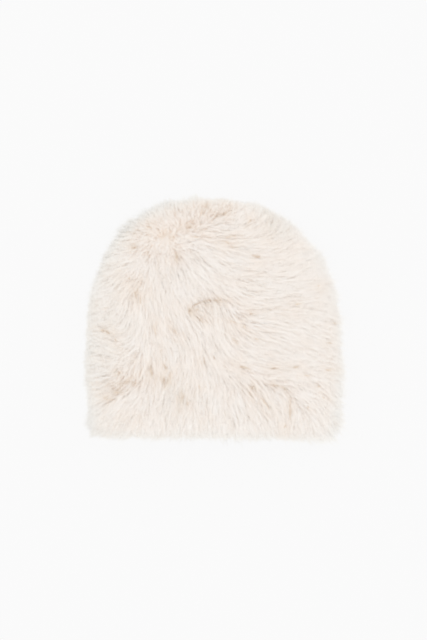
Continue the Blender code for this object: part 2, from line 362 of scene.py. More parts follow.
def closeCrown(shape, ring, grow):
    top = dome["hemY"] + dome["hemToWidest"] + dome["widestToTop"] + grow
    pole = shape.verts.new((dome["middleX"], top, dome["middleZ"]))
    for this, after in zip(ring, ring[1:] + ring[:1]):
        shape.faces.new((this, after, pole))


def makeHideMesh():
    shape = bmesh.new()
    outerGrow = dome["gap"] + dome["matDepth"]
    outer = [makeRing(shape, *row) for row in domeRows(outerGrow, *hide["outerRows"])]
    inner = [makeRing(shape, *row) for row in domeRows(dome["gap"], *hide["innerRows"])]
    for rings in (outer, inner):
        for low, high in zip(rings, rings[1:]):
            bridgeRings(shape, low, high)
    bridgeRings(shape, outer[0], inner[0])
    closeCrown(shape, outer[-1], outerGrow)
    closeCrown(shape, inner[-1], dome["gap"])
    mesh = makeMesh("hide", shape)
    mesh.shade_smooth()
    return mesh


def fade(value, none, full):  # 0 at none, 1 at full, straight between
    return np.clip((value - none) / (full - none), 0, 1)


def unitRows(rows):
    return rows / np.maximum(np.linalg.norm(rows, axis=1, keepdims=True), 1e-6)


def chartShares(x, y, rows, blend):
    # how much each place takes from each row of a chart, most from the nearest
    apart = (x[:, None] - rows[:, 0] * mm) ** 2 + (y[:, None] - rows[:, 1] * mm) ** 2
    shares = 1 / (apart + blend ** 2) ** 2
    return shares / shares.sum(1, keepdims=True)


def combFront(x, y):
    rows = np.array(frontComb, float)
    shares = chartShares(x, y, rows, combing["combBlend"])
    turn = np.radians(rows[:, 2])
    flow = np.stack([shares @ np.cos(turn), shares @ np.sin(turn)], 1)
    return unitRows(flow), shares @ rows[:, 3] * mm


def combBack(x, y):
    aside = combing["backSpread"] * (x - dome["middleX"]) / dome["halfWidth"]
    return unitRows(np.stack([aside, -np.ones_like(y)], 1))


def patchField(x, y, patches, base=0):
    # each patch's own value in its middle, falling to the base a few radii away
    field = base
    for px, py, radius, value in patches:
        apart = (x - px * mm) ** 2 + (y - py * mm) ** 2
        field = np.maximum(field, value * np.exp(-apart / (radius * mm) ** 2))
    return field


def partingField(x, y, width):
    # 1 on a parting of full depth, falling to 0 a few widths away
    field = np.zeros(len(x))
    for px, py, heading, length, depth in partings:
        along = headingOf(heading)
        offX = x - px * mm
        offY = y - py * mm
        run = np.clip(offX * along.x + offY * along.y, -length * mm / 2, length * mm / 2)
        apart = (offX - run * along.x) ** 2 + (offY - run * along.y) ** 2
        field = np.maximum(field, depth * np.exp(-apart / (2 * width * width)))
    return field


def damReach(x, y, flow, reach):
    # hair that would run over a parting is shortened to end at it
    for px, py, heading, length, depth in partings:
        along = headingOf(heading)
        crossing = flow[:, 0] * along.y - flow[:, 1] * along.x
        crossing = np.where(np.abs(crossing) < combing["damAngle"], np.inf, crossing)
        offX = px * mm - x
        offY = py * mm - y
        ahead = (offX * along.y - offY * along.x) / crossing
        onLine = (offX * flow[:, 1] - offY * flow[:, 0]) / crossing
        meets = (ahead > 0) & (ahead < reach) & (np.abs(onLine) < length * mm / 2)
        share = combing["damming"] * depth
        dammed = reach * (1 - share) + np.maximum(ahead, combing["damLeast"]) * share
        reach = np.where(meets, dammed, reach)
    return reach


def combFlow(x, y, out):
    # heading and length: by the chart in front, fanned at the back, and outwards at the edge
    front, frontReach = combFront(x, y)
    frontReach = damReach(x, y, front, frontReach)
    byChart = fade(out[:, 2], -combing["rimBlend"], 0)
    flow = byChart[:, None] * front + (1 - byChart[:, None]) * combBack(x, y)
    steep = fade(np.abs(out[:, 2]), 1, 0)[:, None] ** combing["outwardPower"]
    flow = flow * (1 - steep * (1 - combing["outward"])) + out[:, :2] * steep
    flow = np.concatenate([flow, np.zeros((len(x), 1))], 1)
    return unitRows(flow), byChart * frontReach + (1 - byChart) * combing["backReach"]


def fringeFields(place):
    # how far the hair may pass the outline, in bunches, and how grey it turns there, a painted shade
    stations = np.array(fringe, float)
    shares = chartShares(place[:, 0], place[:, 1], stations, combing["fringeBlend"])
    bunch = np.array([noise.noise(Vector(spot) / combing["clump"]) for spot in place])
    overhang = shares @ stations[:, 2] * mm * (1 + combing["clumping"] * bunch)
    return overhang, shares @ stations[:, 3]


def addField(mesh, name, values):
    kind, slot = ("FLOAT_VECTOR", "vector") if values.ndim == 2 else ("FLOAT", "value")
    layer = mesh.attributes.new(name, kind, "POINT")
    layer.data.foreach_set(slot, np.ascontiguousarray(values, np.float32).ravel())


def combHide(mesh):
    place = np.array([vertex.co for vertex in mesh.vertices])
    out = np.array([vertex.normal for vertex in mesh.vertices])
    x, y, _ = place.T
    facing = np.abs(out[:, 2])
    onFront = fade(out[:, 2], 0, combing["frontFrom"])
    flow, reach = combFlow(x, y, out)
    overhang, grey = fringeFields(place)
    crease = onFront * partingField(x, y, combing["creaseWidth"])
    # painted shade: the hair is warmer and darker round each parting, and warmer in the listed warm patches
    warm = patchField(x, y, blushes, partingField(x, y, combing["warmWidth"]))
    nearHem = np.exp(-np.clip(y - dome["hemY"], 0, None) / combing["hemDepth"])
    atEdge = fade(facing, combing["flatFacing"], combing["steepFacing"])
    fields = {
        "comb": flow,
        "out": out,
        "reach": reach,
        "crease": crease,
        "warm": onFront * warm,
        "thick": 1 - combing["thinning"] * crease + combing["hemDensity"] * nearHem,
        "tousle": onFront * patchField(x, y, tousles),
        "overhang": overhang,
        "ease": 1 - atEdge * (1 - np.clip(combing["steepLift"] * overhang, 0, 1)),
        "border": fade(facing, combing["borderFacing"], 0),
        "grey": grey,
        # painted shadow: how deep each place lies in the listed shadow patches
        "cast": onFront * patchField(x, y, paintedShadowPatches),
    }
    for name, values in fields.items():
        addField(mesh, name, values)


# The strands: each steps over the hide along the comb, then gathers towards its wisp and lock.
# Every random draw has a fixed seed, its last number.

fur = {  # colours by tone, from the painted shade deep in a crease to the palest locks, then along a hair and out at the edge
    "tones": (
        (0.0, (0.36, 0.21, 0.12)), (0.16, (0.80, 0.65, 0.49)), (0.34, (0.945, 0.868, 0.785)),
        (0.60, (0.952, 0.905, 0.851)), (0.80, (0.958, 0.922, 0.877)), (1.0, (0.970, 0.960, 0.944)),
    ),
    # along a hair: a little darker and warmer at the root, then greyer towards the border's end, the edge's
    # painted shade
    "lengths": (
        (0.0, (0.96, 0.93, 0.90)), (0.06, (0.985, 0.98, 0.975)), (0.2, (1.0, 1.0, 1.0)),
        (0.6, (0.939, 0.957, 0.963)), (1.0, (0.878, 0.900, 0.910)),
    ),
    "outerBand": 0.8,  # of the second ramp, kept for the hair's border, whose greyer colours are painted shade
    "strip": 1 / 48,  # of the first ramp, as wide as a hair's own uv
}

strand = {  # the path and the section that locks, wisps and hairs share
    "joints": 4,
    "sides": 3,
    "taper": (0.0, 1.0, 0.95, 0.66, 0.0),  # width by joint
    "rise": (0.0, 0.55, 0.9, 1.0, 0.95),  # height by joint
    "flatness": 0.35,  # how deep a hair is against its width
    "waveStep": 1.7,  # radians of its wave from joint to joint
    "tousledTurn": 3.5,  # how much more a tousled hair turns
    "tousledCut": 0.5,  # of its length
    "outsideBlend": 1 * mm,  # past the outline by this much, a hair hangs free
    "slackPower": 1.2,  # more keeps the overhang for the tip
    "liftCost": 0.5,  # of its lift, off its overhang
    "floorGap": 0.6 * mm,
    "floorStep": 0.4 * mm,  # more room over the floor by joint
}
last = strand["joints"]  # the number of the joint at the tip


def skinRings(shape, rings, uv, chart):
    # joins rings of corners, or single points; chart turns a corner's side and joint into its uv
    for joint, (low, high) in enumerate(zip(rings, rings[1:])):
        for side in range(strand["sides"]):
            after = (side + 1) % strand["sides"]
            corners = {
                low[side % len(low)]: (side, joint),
                low[after % len(low)]: (side + 1, joint),
                high[after % len(high)]: (side + 1, joint + 1),
                high[side % len(high)]: (side, joint + 1),
            }
            face = shape.faces.new(list(corners))
            for loop in face.loops:
                loop[uv].uv = chart(*corners[loop.vert])


def makeStrandTemplate():
    # a unit strand: its ring in x and y, its joint number in z
    shape = bmesh.new()
    uv = shape.loops.layers.uv.new("OFBake")
    rings = []
    for joint, size in enumerate(strand["taper"]):
        sides = strand["sides"] if size else 1
        turns = [math.tau * side / sides - math.pi / 2 for side in range(sides)]
        corners = [(size * math.cos(turn), size * math.sin(turn), joint) for turn in turns]
        rings.append([shape.verts.new(corner) for corner in corners])
    skinRings(shape, rings, uv, lambda side, joint: (side / strand["sides"], joint / last))
    mesh = makeMesh("strandTemplate", shape)
    mesh.shade_flat()
    addField(mesh, "local", np.array([vertex.co for vertex in mesh.vertices]))
    return makeObject("strandTemplate", mesh)


def named(board, name, kind="FLOAT"):
    return board.add("GeometryNodeInputNamedAttribute", {"data_type": kind}, {"Name": name})


def namedVector(board, name):
    return named(board, name, "FLOAT_VECTOR")


def store(board, geometry, name, value, kind=None, domain="POINT"):
    kind = kind or ("FLOAT_VECTOR" if isVector(value) else "FLOAT")
    return board.add("GeometryNodeStoreNamedAttribute", {"data_type": kind, "domain": domain},
                     {"Geometry": geometry, "Name": name, "Value": value})


def randomNumber(board, low, high, seed):
    return board.add("FunctionNodeRandomValue", {"data_type": "FLOAT"},
                     {"Min_001": low, "Max_001": high, "Seed": seed}, "Value_001")


def randomVector(board, size, seed):
    return board.add("FunctionNodeRandomValue", {"data_type": "FLOAT_VECTOR"},
                     {"Min": (-size,) * 3, "Max": (size,) * 3, "Seed": seed}, "Value")


def rootPlace(board):
    return board.add("GeometryNodeInputPosition", {}, {})


def onHide(board, skin, name, place, kind="FLOAT"):
    # a field's value where the hide is nearest to a place
    return board.add("GeometryNodeSampleNearestSurface", {"data_type": kind},
                     {"Mesh": skin, "Value": named(board, name, kind), "Sample Position": place})


def nearestOn(board, skin, place):
    return board.add("GeometryNodeProximity", {"target_element": "FACES"},
                     {"Target": skin, "Source Position": place}, "Position")


def chooseByIndex(board, index, items, kind="VECTOR"):
    sockets = {f"Item_{number}": item for number, item in enumerate(items)}
    return board.add("GeometryNodeIndexSwitch", {"data_type": kind, "items": len(items)},
                     {"Index": index, **sockets})


def walk(board, points, skin, knobs, seed, wander, slack):
    # stores joint0 and on, in steps along the comb, lifted off the hide and held within the overhang
    tousle = named(board, "tousle")
    points = store(board, points, "joint0", rootPlace(board))
    points = store(board, points, "phase", randomNumber(board, 0.0, math.tau, seed + 1))
    loose = tousle * strand["tousledTurn"] + 1
    points = store(board, points, "turn", randomNumber(board, -wander, wander, seed + 2) * loose)
    points = store(board, points, "slack", slack)
    full = named(board, "reach") * named(board, "long")
    stepLength = full * (1 - tousle * strand["tousledCut"]) / last
    for joint in range(1, last + 1):
        place = namedVector(board, f"joint{joint - 1}")
        flow = onHide(board, skin, "comb", place, "FLOAT_VECTOR")
        aside = flow.cross(onHide(board, skin, "out", place, "FLOAT_VECTOR")).unit()
        sway = (named(board, "phase") + joint * strand["waveStep"]).sine() * knobs["Wave"]
        heading = (flow + aside * (named(board, "turn") + sway)).unit()
        ahead = place + heading * stepLength
        near = nearestOn(board, skin, ahead)
        out = onHide(board, skin, "out", ahead, "FLOAT_VECTOR")
        lift = named(board, "lift") * strand["rise"][joint] * onHide(board, skin, "ease", ahead)
        limit = onHide(board, skin, "overhang", ahead) * named(board, "slack")
        limit = limit * (joint / last) ** strand["slackPower"] - lift * strand["liftCost"]
        off = ahead - near
        outside = off.dot(out).between(0.0, strand["outsideBlend"])
        spare = ((off.size() - lift).atLeast(0.0) * outside).atMost(limit.atLeast(0.0))
        x, y, z = (near + out * lift + off.unit() * spare).parts()
        lowest = strand["floorGap"] + strand["floorStep"] * joint
        spot = board.vector(x, y, (z - spare * knobs["Droop"]).atLeast(lowest))
        points = store(board, points, f"joint{joint}", spot)
    return points


def sprinkle(board, skin, spacing, seed):
    return board.add("GeometryNodeDistributePointsOnFaces", {"distribute_method": "POISSON"},
                     {"Mesh": skin, "Distance Min": spacing, "Density Max": 90000.0, "Seed": seed}, "Points")


def findGuides(board, points, guides, shake, seed):
    # each point's guide is the one that roots nearest to it, give or take a shake
    points = store(board, points, "rootNear", rootPlace(board) + randomVector(board, shake, seed))
    nearest = board.add("GeometryNodeSampleNearest", {"domain": "POINT"},
                        {"Geometry": guides, "Sample Position": namedVector(board, "rootNear")})
    return store(board, points, "guide", nearest, "INT")


def fromGuide(board, guides, name, kind="FLOAT"):
    sockets = {"Geometry": guides, "Value": named(board, name, kind), "Index": named(board, "guide", "INT")}
    return board.add("GeometryNodeSampleIndex", {"data_type": kind, "domain": "POINT"}, sockets)


def gather(board, points, guides, amount, power):
    # pulls each path towards its guide's, more at the tip
    for joint in range(1, last + 1):
        own = namedVector(board, f"joint{joint}")
        guide = fromGuide(board, guides, f"joint{joint}", "FLOAT_VECTOR")
        pull = amount * ((joint / last) ** power)
        points = store(board, points, f"joint{joint}", own + (guide - own) * pull)
    return points


def sizeUp(board, points, level, knobs, seed):
    points = store(board, points, "lift", randomNumber(board, *level["lift"], seed) * knobs["Lift"])
    return store(board, points, "long", randomNumber(board, *level["length"], seed + 1) * knobs["Length"])


lock = {"lift": (0.5, 1.0), "length": (0.85, 1.1), "wander": 0.32, "slack": (0.25, 0.95)}


def growLocks(board, skin, knobs):
    locks = sizeUp(board, sprinkle(board, skin, knobs["Lock Spacing"], 11), lock, knobs, 12)
    locks = store(board, locks, "tone", randomNumber(board, -1.0, 1.0, 14))
    return walk(board, locks, skin, knobs, 15, lock["wander"], randomNumber(board, *lock["slack"], 18))


wisp = {
    "lift": (0.5, 1.0),
    "length": (0.75, 1.1),
    "wander": 0.24,
    "slack": (0.35, 0.85),
    "shake": 2 * mm,
    "lockHalf": 0.6,  # half a lock's width, of the locks' spacing
    "sideDrop": 0.6,  # of the lift, lost at a lock's side
    "pullPower": 1.3,
}


def growWisps(board, skin, knobs, locks):
    # thin bunches inside the locks; those at a lock's sides lie lower, and are painted darker, a painted
    # shade between the locks
    wisps = sizeUp(board, sprinkle(board, skin, knobs["Wisp Spacing"], 21), wisp, knobs, 22)
    wisps = findGuides(board, wisps, locks, wisp["shake"], 24)
    apart = namedVector(board, "rootNear") - fromGuide(board, locks, "joint0", "FLOAT_VECTOR")
    aside = namedVector(board, "comb").cross(namedVector(board, "out")).unit()
    across = apart.dot(aside) / (knobs["Lock Spacing"] * wisp["lockHalf"])
    wisps = store(board, wisps, "side", (across * across).atMost(1.0))
    low = 1 - named(board, "side") * wisp["sideDrop"]
    wisps = store(board, wisps, "lift", named(board, "lift") * low)
    wisps = walk(board, wisps, skin, knobs, 25, wisp["wander"], randomNumber(board, *wisp["slack"], 28))
    wisps = gather(board, wisps, locks, knobs["Lock Pull"], wisp["pullPower"])
    own = randomNumber(board, -1.0, 1.0, 26) * knobs["Wisp Tone"]
    tone = fromGuide(board, locks, "tone") * knobs["Lock Tone"] + own
    return store(board, wisps, "tone", tone - named(board, "side") * knobs["Painted Side Shade"])


hairs = {
    "lift": (0.3, 1.0),
    "length": (0.8, 1.12),
    "width": (0.65, 1.3),
    "wander": 0.27,
    "shake": 0.7 * mm,
    "rareness": 5.0,  # more makes wild hairs rarer
    "slack": 0.48,
    "wildSlack": 0.6,  # how much more slack a wild hair has
    "wildPull": 0.85,  # how much less it gathers
    "wildWidth": 0.55,  # how much thinner it is
    "pull": (0.45, 1.1),
    "pullPower": 0.9,
    "stray": 5.0,  # how many times further the furthest hair strays
    "strayRareness": 6.0,
    "fleckRareness": 14.0,
    "borderReach": 14 * mm,  # past the hide, by where a hair has all of the border's colours, the edge's painted shade
    "hideBorder": 0.3,  # of them on the hide's own edge
    "lowest": 0.5 * mm,  # over the floor
    "tones": (0.01, 0.99),  # kept inside the ramp
    "tilt": (0.013, 0.007, 0.003),  # so that a hair that stands straight up still has a side
}


def growStrands(board, skin, knobs, wisps):
    chosen = board.add("FunctionNodeCompare", {"data_type": "INT", "operation": "EQUAL"},
                       {"A_INT": named(board, "zone", "INT"), "B_INT": knobs["Zone"]})
    density = knobs["Strands Per Area"] * named(board, "thick")
    strands = board.add("GeometryNodeDistributePointsOnFaces", {"distribute_method": "RANDOM"},
                        {"Mesh": skin, "Selection": chosen, "Density": density, "Seed": knobs["Seed"]},
                        "Points")
    wild = named(board, "wild")
    strands = sizeUp(board, strands, hairs, knobs, 32)
    strands = findGuides(board, strands, wisps, hairs["shake"], 34)
    strands = store(board, strands, "wild", randomNumber(board, 0.0, 1.0, 31) ** hairs["rareness"])
    slack = wild * hairs["wildSlack"] + hairs["slack"]
    strands = walk(board, strands, skin, knobs, 35, hairs["wander"], slack)
    pull = knobs["Wisp Pull"] * randomNumber(board, *hairs["pull"], 36) * (1 - wild * hairs["wildPull"])
    return gather(board, strands, wisps, pull, hairs["pullPower"])


def cutStrands(board, strands, skin, knobs):
    # each hair ends somewhere along its own path, strays a little from it and dips into the creases
    strands = store(board, strands, "share", 1 - randomNumber(board, 0.0, 1.0, 38) * knobs["Unevenness"])
    path = [namedVector(board, f"joint{joint}") for joint in range(last + 1)]
    strands = store(board, strands, "spot0", path[0])
    stray = randomNumber(board, 0.0, 1.0, 40) ** hairs["strayRareness"] * hairs["stray"] + 1.0
    for joint in range(1, last + 1):
        along = named(board, "share") * joint
        before = along.whole()
        low = chooseByIndex(board, before, path)
        high = chooseByIndex(board, (before + 1).atMost(last), path)
        shake = randomVector(board, 1.0, 40 + joint) * (knobs["Fuzz"] * stray * (joint / last))
        spot = low + (high - low) * (along - before) + shake
        x, y, z = spot.parts()
        dip = onHide(board, skin, "crease", spot) * knobs["Crease Dip"]
        dipped = board.vector(x, y, (z - dip).atLeast(hairs["lowest"]))
        strands = store(board, strands, f"spot{joint}", dipped)
        # painted shade: the further past the outline a spot lies, the more of the edge's grey its hair takes
        outward = (spot - nearestOn(board, skin, spot)) * (1.0, 1.0, 0.0)
        past = outward.size() / hairs["borderReach"]
        border = onHide(board, skin, "border", spot) * hairs["hideBorder"] + past
        strands = store(board, strands, f"border{joint}", border.atMost(1.0))
    return store(board, strands, "border0", named(board, "border") * hairs["hideBorder"])


def toneStrands(board, strands, skin, knobs, wisps):
    # a hair is painted darker where it passes a crease and warmer and darker round a parting, both painted
    # shade, darker in the painted shadow patches and paler under the edge's painted grey, and a few are dark
    # all along
    own = fromGuide(board, wisps, "tone") + randomNumber(board, -1.0, 1.0, 37) * knobs["Strand Tone"]
    own = own - randomNumber(board, 0.0, 1.0, 39) ** hairs["fleckRareness"] * knobs["Fleck Tone"]
    strands = store(board, strands, "ownTone", own + knobs["Tone"])
    least, most = hairs["tones"]
    for joint in range(last + 1):
        spot = namedVector(board, f"spot{joint}")
        crease = onHide(board, skin, "crease", spot) * knobs["Painted Crease Shade"]
        warm = onHide(board, skin, "warm", spot) * knobs["Warm Tone"]
        border = named(board, f"border{joint}") * knobs["Border Tone"]
        tone = named(board, "ownTone") - crease - warm + border - named(board, "cast") * knobs["Painted Shadow Tone"]
        strands = store(board, strands, f"tone{joint}", tone.atLeast(least).atMost(most))
    return strands


def buildStrands(board, strands, knobs):
    # a template on every root, bent to its hair's spots and moved to its place on the two ramps
    slim = (1 - named(board, "wild") * hairs["wildWidth"]) * knobs["Half Width"]
    strands = store(board, strands, "thin", randomNumber(board, *hairs["width"], 50) * slim)
    template = board.add("GeometryNodeObjectInfo", {}, {"Object": knobs["Template"]}, "Geometry")
    hair = board.add("GeometryNodeInstanceOnPoints", {}, {"Points": strands, "Instance": template})
    hair = board.add("GeometryNodeRealizeInstances", {}, {"Geometry": hair})
    ringX, ringY, jointNumber = namedVector(board, "local").parts()
    spots = [namedVector(board, f"spot{joint}") for joint in range(last + 1)]
    before = chooseByIndex(board, jointNumber, spots[:1] + spots[:-1])
    after = chooseByIndex(board, jointNumber, spots[1:] + spots[-1:])
    run = (after - before).unit()
    across = run.cross(namedVector(board, "out") + hairs["tilt"]).unit()
    above = across.cross(run)
    deep = ringY * named(board, "thin") * strand["flatness"]
    spread = across * (ringX * named(board, "thin")) + above * deep
    hair = board.add("GeometryNodeSetPosition", {},
                     {"Geometry": hair, "Position": chooseByIndex(board, jointNumber, spots) + spread})
    tones = [named(board, f"tone{joint}") for joint in range(last + 1)]
    hair = store(board, hair, "toneHere", chooseByIndex(board, jointNumber, tones, "FLOAT"))
    # painted shade: at the edge and in the shadow patches a hair moves towards the greyer end of the second
    # ramp
    borders = [(named(board, f"border{joint}") * named(board, "grey") + named(board, "cast")).atMost(1.0)
               for joint in range(last + 1)]
    hair = store(board, hair, "borderHere", chooseByIndex(board, jointNumber, borders, "FLOAT"))
    u, v, _ = namedVector(board, "OFBake").parts()
    toneU = named(board, "toneHere") * (1 - fur["strip"]) + u * fur["strip"]
    lengthV = v * (1 - fur["outerBand"]) + named(board, "borderHere") * fur["outerBand"]
    hair = store(board, hair, "OFBake", board.vector(toneU, lengthV, 0.0), "FLOAT2", "CORNER")
    return board.add("GeometryNodeSetMaterial", {}, {"Geometry": hair, "Material": knobs["Material"]})


pile = {  # what every piece of the pile shares
    "Half Width": 0.5 * mm,
    "Lock Spacing": 13 * mm,
    "Wisp Spacing": 4.2 * mm,
    "Lock Pull": 0.6,
    "Wisp Pull": 0.72,
    "Lift": 9 * mm,
    "Wave": 0.22,
    "Droop": 0.3,
    "Fuzz": 0.6 * mm,
    "Unevenness": 0.5,
    "Length": 1.0,
    "Tone": 0.60,
    "Lock Tone": 0.08,
    "Wisp Tone": 0.05,
    "Strand Tone": 0.02,
    "Fleck Tone": 0.15,
    # painted shade: how much darker the wisps at a lock's sides are painted
    "Painted Side Shade": 0.08,
    # painted shade: how much darker a hair is painted where it passes a crease
    "Painted Crease Shade": 0.16,
    "Crease Dip": 1 * mm,
    # painted shade round the partings, and warmth in the listed warm patches: how far the tone falls there
    "Warm Tone": 0.28,
    # painted shade at the edge: how much the hair's tone pales there, under the border's grey
    "Border Tone": 0.22,
    # painted shadow: how much darker the hair is painted in the shadow patches
    "Painted Shadow Tone": 0.3,
}

# name, zone on the hide, strands, seed, and what differs from the rest of the pile
pilePieces = (
    ("pile_front_left", 0, 9300, 101, {}),
    ("pile_front_middle_left", 1, 9300, 102, {}),
    ("pile_front_middle_right", 2, 9300, 103, {}),
    ("pile_front_right", 3, 9300, 104, {}),
    ("pile_edge", 4, 7800, 105, {"Half Width": 0.46 * mm}),
    ("pile_back", 5, 4400, 106, {"Half Width": 0.9 * mm}),
    ("pile_hem", 6, 1500, 107, {"Length": 0.6, "Lift": 3 * mm}),
)


def pileTree():
    tree = bpy.data.node_groups.new("combed pile", "GeometryNodeTree")
    tree.interface.new_socket("Geometry", in_out="OUTPUT", socket_type="NodeSocketGeometry")
    tree.interface.new_socket("Geometry", in_out="INPUT", socket_type="NodeSocketGeometry")
    kinds = {"Template": "Object", "Material": "Material", "Zone": "Int", "Seed": "Int"}
    kinds.update({name: "Float" for name in ("Strands Per Area", *pile)})
    for name, kind in kinds.items():
        tree.interface.new_socket(name, in_out="INPUT", socket_type="NodeSocket" + kind)
    board = Board(tree)
    source = tree.nodes.new("NodeGroupInput")
    knobs = {name: Wire(board, source.outputs[name]) for name in kinds}
    skin = Wire(board, source.outputs["Geometry"])
    locks = growLocks(board, skin, knobs)
    wisps = growWisps(board, skin, knobs, locks)
    strands = growStrands(board, skin, knobs, wisps)
    strands = cutStrands(board, strands, skin, knobs)
    strands = toneStrands(board, strands, skin, knobs, wisps)
    hair = buildStrands(board, strands, knobs)
    sink = tree.nodes.new("NodeGroupOutput")
    tree.links.new(hair.socket, sink.inputs[0])
    return tree


def zoneHide(mesh):
    # the front in four strips, the edge all round, the back and the hem's rim; returns their areas
    middle = np.array([polygon.center for polygon in mesh.polygons])
    normal = np.array([polygon.normal for polygon in mesh.polygons])
    x = (middle[:, 0] - dome["middleX"]) / dome["halfWidth"]
    inner = hide["outerStrips"]
    zone = np.where(x < -inner, 0, np.where(x < 0, 1, np.where(x < inner, 2, 3)))
    zone = np.where(np.abs(normal[:, 2]) < hide["edgeFacing"], 4, zone)
    zone = np.where(normal[:, 2] <= -hide["edgeFacing"], 5, zone)
    outerFaces = hide["around"] * (sum(hide["outerRows"]) - 1)
    zone = np.where(np.arange(len(zone)) >= outerFaces, hide["bareZone"], zone)
    rim = (middle[:, 1] < dome["hemY"] + hide["rimDepth"]) & (normal[:, 1] < -hide["rimFacing"])
    zone = np.where(rim, 6, zone)
    layer = mesh.attributes.new("zone", "INT", "FACE")
    layer.data.foreach_set("value", zone.astype(np.int32))
    areas = np.array([polygon.area for polygon in mesh.polygons])
    return [float(areas[zone == number].sum()) for number in range(len(pilePieces))]


def growPile(name, skin, tree, knobs):
    grown = makeObject(name, skin.copy())
    step = grown.modifiers.new("pile", "NODES")
    step.node_group = tree
    for socket in tree.interface.items_tree:
        if socket.name in knobs:
            step[socket.identifier] = knobs[socket.name]
    graph = bpy.context.evaluated_depsgraph_get()
    mesh = bpy.data.meshes.new_from_object(grown.evaluated_get(graph))
    bpy.data.objects.remove(grown)
    kept = ("position", "OFBake", "sharp_face", "material_index")
    for layer in [layer.name for layer in mesh.attributes]:
        if not layer.startswith(".") and layer not in kept:
            mesh.attributes.remove(mesh.attributes[layer])
    print(name, "grown")
    return makeObject(name, mesh)


shade = {  # painted shadow: dark hairs laid on top of the pile along each parting, where its shade falls
    "seed": 9,
    "hairs": 5,
    "halfWidth": 0.46 * mm,
    "joints": 5,
    "above": 0.7 * mm,
    "spread": 0.3 * mm,  # off the parting's line
    "slide": 0.15,  # along it, of its length
    "swing": 9,  # degrees off the parting's heading
    "lengths": (0.55, 1.0),  # of the parting's
    "bend": 0.1,  # of a hair's length
    "tones": (0.0, 0.06),
    "shallow": 0.18,  # how much paler the hairs are in a parting of no depth
    "toneScale": 0.9,  # of the tone, along the fur's first ramp
    "sideTone": 0.02,  # from one side of a hair to the next
    "rootLength": 0.04,  # where a hair starts on the fur's second ramp
    "tipLength": 0.16,  # and how far it runs there
}


def topAt(trees, x, y):
    found = [tree.ray_cast(Vector((x, y, 1)), Vector((0, 0, -1)))[0] for tree in trees]
    return max((place.z for place in found if place), default=shellHigh.z)


def layHair(shape, uv, trees, middle, heading, span, bend, tone):
    # one bowed hair lying on the pile, thin at both ends
    along = headingOf(heading)
    aside = Vector((-along.y, along.x, 0))
    shares = [joint / shade["joints"] for joint in range(shade["joints"] + 1)]
    bows = [4 * share * (1 - share) - 0.5 for share in shares]
    spots = [middle + along * (share - 0.5) * span + aside * bend * bow for share, bow in zip(shares, bows)]
    tops = [topAt(trees, spot.x, spot.y) for spot in spots]
    heights = np.polyval(np.polyfit(shares, tops, 2), shares)
    rings = []
    for share, spot, height in zip(shares, spots, heights):
        spot.z = float(height) + shade["above"]
        wide = shade["halfWidth"] * math.sin(math.pi * share)
        corners = [aside * wide, -aside * wide, Vector((0, 0, wide / 2))] if 0 < share < 1 else [Vector()]
        rings.append([shape.verts.new(spot + corner) for corner in corners])

    def chart(side, joint):
        lengthV = shade["rootLength"] + shade["tipLength"] * joint / shade["joints"]
        return tone * shade["toneScale"] + side * shade["sideTone"], lengthV

    skinRings(shape, rings, uv, chart)


def growShade(pieces, material):
    # painted shadow: the dark hairs along the partings, in the fur's darkest tones
    shape = bmesh.new()
    uv = shape.loops.layers.uv.new("OFBake")
    draw = np.random.default_rng(shade["seed"])
    graph = bpy.context.evaluated_depsgraph_get()
    trees = [BVHTree.FromObject(piece, graph) for piece in pieces]
    for x, y, heading, length, depth in partings:
        along = headingOf(heading)
        aside = Vector((-along.y, along.x, 0))
        for _ in range(max(1, round(shade["hairs"] * depth))):
            middle = Vector((x * mm, y * mm, 0)) + aside * draw.normal() * shade["spread"]
            middle += along * draw.normal() * length * mm * shade["slide"]
            turned = heading + draw.uniform(-1, 1) * shade["swing"]
            span = length * mm * draw.uniform(*shade["lengths"])
            tone = draw.uniform(*shade["tones"]) + shade["shallow"] * (1 - depth)
            bend = draw.uniform(-shade["bend"], shade["bend"]) * span
            layHair(shape, uv, trees, middle, turned, span, bend, tone)
    return makeObject("pile_shade", makeMesh("pile_shade", shape), material)


# Finishes

def newMaterial(name):
    made = bpy.data.materials.new(name)
    made.use_nodes = True
    made.node_tree.nodes.clear()
    return made, Board(made.node_tree)


def finishMaterial(board, colour, roughness, specular, more=None):
    sockets = {"Base Color": colour, "Roughness": roughness, "Specular IOR Level": specular, **(more or {})}
    shader = board.add("ShaderNodeBsdfPrincipled", {}, sockets)
    output = board.tree.nodes.new("ShaderNodeOutputMaterial")
    board.tree.links.new(shader.socket, output.inputs["Surface"])


def objectPlace(board):
    return board.add("ShaderNodeTexCoord", {}, {}, "Object")


def softNoise(board, place, scale, detail):
    return board.add("ShaderNodeTexNoise", {}, {"Vector": place, "Scale": scale, "Detail": detail}, "Fac")


def pileMaterial():
    made, board = newMaterial("cream pile")
    tone, along, _ = board.add("ShaderNodeUVMap", {"uv_map": "OFBake"}, {}).parts()
    tint = board.add("ShaderNodeValToRGB", {"stops": fur["tones"]}, {"Fac": tone})
    hue = board.add("ShaderNodeValToRGB", {"stops": fur["lengths"]}, {"Fac": along})
    colour = board.mix(1.0, hue, tint, "MULTIPLY")
    finishMaterial(board, colour, roughness=0.62, specular=0.25)
    return made


roots = {  # the matted roots under the hair
    "shadow": (0.88, 0.79, 0.70, 1),
    "light": (0.93, 0.86, 0.79, 1),
    "patches": 160.0,
    "fibres": 900.0,
    "bump": 1 * mm,
}


